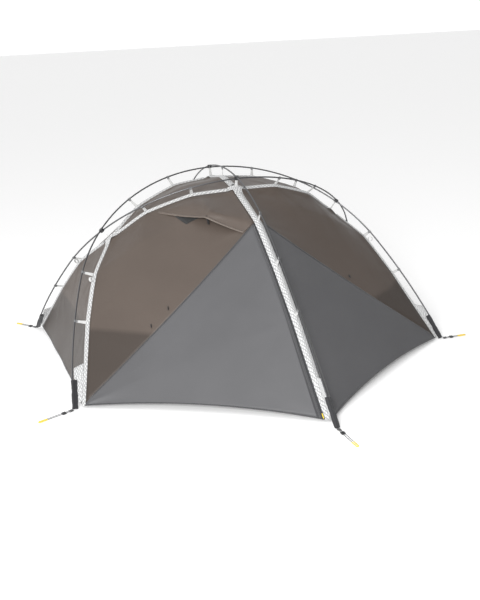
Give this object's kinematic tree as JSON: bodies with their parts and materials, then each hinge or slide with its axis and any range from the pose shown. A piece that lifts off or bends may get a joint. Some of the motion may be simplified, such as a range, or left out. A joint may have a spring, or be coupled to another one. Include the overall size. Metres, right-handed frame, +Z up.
{
  "type": "tent",
  "caption": "Free-standing dome tent for two: three bent outside poles, clipped fly with vestibules, vents and zipped doors, and a hanging inner tent.",
  "frame": {"origin": "on the ground under the middle of the tent", "axes": "+X along the sleeping length to the right, +Y to the back, +Z up; the vestibule with the camera side is at -Y"},
  "size_m": [2.773, 3.5828, 1.1388],
  "materials": {
    "pole_alloy": "anodised dark grey",
    "bare_alloy": "satin",
    "elastic_cord": "woven",
    "clip_plastic": "moulded",
    "crossing_plastic": "moulded",
    "pale_webbing": "woven tape",
    "pale_ripstop": "ripstop with a grey diamond grid",
    "taupe_ripstop": "coated ripstop",
    "grey_ripstop": "coated ripstop",
    "dark_trim": "tape and coil zip",
    "slider_metal": "black",
    "yellow_trim": "woven",
    "black_mesh": "fine mesh",
    "black_plastic": "moulded",
    "black_webbing": "coated fabric and woven tape",
    "ring_steel": "satin",
    "grey_cord": "braided",
    "floor_fabric": "coated",
    "inner_fabric": "light breathable weave"
  },
  "bodies": {
    "tent": {"pole_sections": "pole_alloy", "pole_inserts": "bare_alloy", "shock_cords": "elastic_cord", "pole_tips": "bare_alloy", "pole_clips": "clip_plastic", "clip_straps": "pale_webbing", "crossing_clips": "crossing_plastic", "long_bands": "pale_ripstop", "cross_bands": "pale_ripstop", "crossing_patches": "pale_ripstop", "end_panels": "taupe_ripstop", "roof_panels": "taupe_ripstop", "upper_panels": "taupe_ripstop", "end_hems": "dark_trim", "zip_teeth": "dark_trim", "vent_hoods": "taupe_ripstop", "vent_mesh": "black_mesh", "toggles": "black_plastic", "guy_loops": "pale_webbing", "pole_pockets": "black_webbing", "gussets": "pale_ripstop", "foot_webbing": "black_webbing", "foot_rings": "ring_steel", "cord_front_left": "grey_cord", "cord_front_right": "grey_cord", "cord_back_right": "grey_cord", "cord_back_left": "grey_cord", "cord_front": "grey_cord", "cord_back": "grey_cord", "cord_sleeves": "yellow_trim", "inner_floor": "floor_fabric", "inner_canopy": "inner_fabric", "inner_hangers": "black_webbing"},
    "door_front_left": {"door_front_left": "grey_ripstop", "door_trim_front_left": "dark_trim"},
    "slider_front_left": {"slider_front_left": "slider_metal"},
    "pull_front_left": {"pull_front_left": "yellow_trim"},
    "door_front_right": {"door_front_right": "grey_ripstop", "door_trim_front_right": "dark_trim"},
    "slider_front_right": {"slider_front_right": "slider_metal"},
    "pull_front_right": {"pull_front_right": "yellow_trim"},
    "door_back_left": {"door_back_left": "grey_ripstop", "door_trim_back_left": "dark_trim"},
    "slider_back_left": {"slider_back_left": "slider_metal"},
    "pull_back_left": {"pull_back_left": "yellow_trim"},
    "door_back_right": {"door_back_right": "grey_ripstop", "door_trim_back_right": "dark_trim"},
    "slider_back_right": {"slider_back_right": "slider_metal"},
    "pull_back_right": {"pull_back_right": "yellow_trim"},
    "vent_strut_front": {"vent_strut_front": "black_plastic"},
    "vent_strut_back": {"vent_strut_back": "black_plastic"},
    "tensioner_front_left": {"tensioner_front_left": "black_plastic"},
    "tensioner_front_right": {"tensioner_front_right": "black_plastic"},
    "tensioner_back_right": {"tensioner_back_right": "black_plastic"},
    "tensioner_back_left": {"tensioner_back_left": "black_plastic"},
    "tensioner_front": {"tensioner_front": "black_plastic"},
    "tensioner_back": {"tensioner_back": "black_plastic"},
    "inner_door_front": {"inner_door_front": "inner_fabric"},
    "inner_door_back": {"inner_door_back": "inner_fabric"}
  },
  "joints": [
    {"name": "door_front_left_seam", "type": "hinge", "parent": "tent", "child": "door_front_left", "pos_m": [-1.13491, -0.72709, 0.02886], "axis": [-0.7868, -0.1073, -0.6078], "range_deg": [0, 100]},
    {"name": "slider_front_left_run", "type": "slide", "parent": "door_front_left", "child": "slider_front_left", "axis": [-0.0023, 0.6781, 0.7349], "range_m": [0, 0.42]},
    {"name": "door_front_right_seam", "type": "hinge", "parent": "tent", "child": "door_front_right", "pos_m": [1.13491, -0.72709, 0.02886], "axis": [-0.7868, 0.1073, 0.6078], "range_deg": [0, 100]},
    {"name": "slider_front_right_run", "type": "slide", "parent": "door_front_right", "child": "slider_front_right", "axis": [0.0023, 0.6781, 0.7349], "range_m": [0, 0.42]},
    {"name": "door_back_left_seam", "type": "hinge", "parent": "tent", "child": "door_back_left", "pos_m": [-1.13491, 0.72709, 0.02886], "axis": [0.7868, -0.1073, 0.6078], "range_deg": [0, 100]},
    {"name": "slider_back_left_run", "type": "slide", "parent": "door_back_left", "child": "slider_back_left", "axis": [-0.0023, -0.6781, 0.7349], "range_m": [0, 0.42]},
    {"name": "door_back_right_seam", "type": "hinge", "parent": "tent", "child": "door_back_right", "pos_m": [1.13491, 0.72709, 0.02886], "axis": [0.7868, 0.1073, -0.6078], "range_deg": [0, 100]},
    {"name": "slider_back_right_run", "type": "slide", "parent": "door_back_right", "child": "slider_back_right", "axis": [0.0023, -0.6781, 0.7349], "range_m": [0, 0.42]},
    {"name": "pull_front_left_lift", "type": "hinge", "parent": "slider_front_left", "child": "pull_front_left", "pos_m": [-0.0291, -1.45362, 0.0425], "axis": [-0.8998, 0.3193, -0.2974], "range_deg": [0, 160]},
    {"name": "pull_front_right_lift", "type": "hinge", "parent": "slider_front_right", "child": "pull_front_right", "pos_m": [0.0291, -1.45362, 0.0425], "axis": [-0.8998, -0.3193, 0.2974], "range_deg": [0, 160]},
    {"name": "pull_back_left_lift", "type": "hinge", "parent": "slider_back_left", "child": "pull_back_left", "pos_m": [-0.0291, 1.45362, 0.0425], "axis": [0.8998, 0.3193, 0.2974], "range_deg": [0, 160]},
    {"name": "pull_back_right_lift", "type": "hinge", "parent": "slider_back_right", "child": "pull_back_right", "pos_m": [0.0291, 1.45362, 0.0425], "axis": [0.8998, -0.3193, -0.2974], "range_deg": [0, 160]},
    {"name": "vent_strut_front_fold", "type": "hinge", "parent": "tent", "child": "vent_strut_front", "pos_m": [-0.26446, -0.42463, 0.92894], "axis": [-0.7148, 0.6979, 0.0444], "range_deg": [0, 60]},
    {"name": "vent_strut_back_fold", "type": "hinge", "parent": "tent", "child": "vent_strut_back", "pos_m": [0.26446, 0.42463, 0.92894], "axis": [0.7148, -0.6979, 0.0444], "range_deg": [0, 60]},
    {"name": "tensioner_front_left_run", "type": "slide", "parent": "tent", "child": "tensioner_front_left", "axis": [-0.9404, -0.3401, 0], "range_m": [-0.008, 0.09]},
    {"name": "tensioner_front_right_run", "type": "slide", "parent": "tent", "child": "tensioner_front_right", "axis": [0.995, -0.0995, 0], "range_m": [-0.008, 0.036]},
    {"name": "tensioner_back_right_run", "type": "slide", "parent": "tent", "child": "tensioner_back_right", "axis": [0.722, 0.6919, 0], "range_m": [-0.008, 0.068]},
    {"name": "tensioner_back_left_run", "type": "slide", "parent": "tent", "child": "tensioner_back_left", "axis": [-0.6, 0.8, 0], "range_m": [-0.008, 0.068]},
    {"name": "tensioner_front_run", "type": "slide", "parent": "tent", "child": "tensioner_front", "axis": [0, -1, 0], "range_m": [-0.008, 0.093]},
    {"name": "tensioner_back_run", "type": "slide", "parent": "tent", "child": "tensioner_back", "axis": [0, 1, 0], "range_m": [-0.008, 0.093]},
    {"name": "inner_door_front_side", "type": "hinge", "parent": "tent", "child": "inner_door_front", "pos_m": [-0.33035, -0.58222, 0.11455], "axis": [0, -0.3968, -0.9179], "range_deg": [0, 30]},
    {"name": "inner_door_back_side", "type": "hinge", "parent": "tent", "child": "inner_door_back", "pos_m": [-0.33035, 0.58222, 0.11455], "axis": [0, -0.3968, 0.9179], "range_deg": [0, 30]}
  ]
}
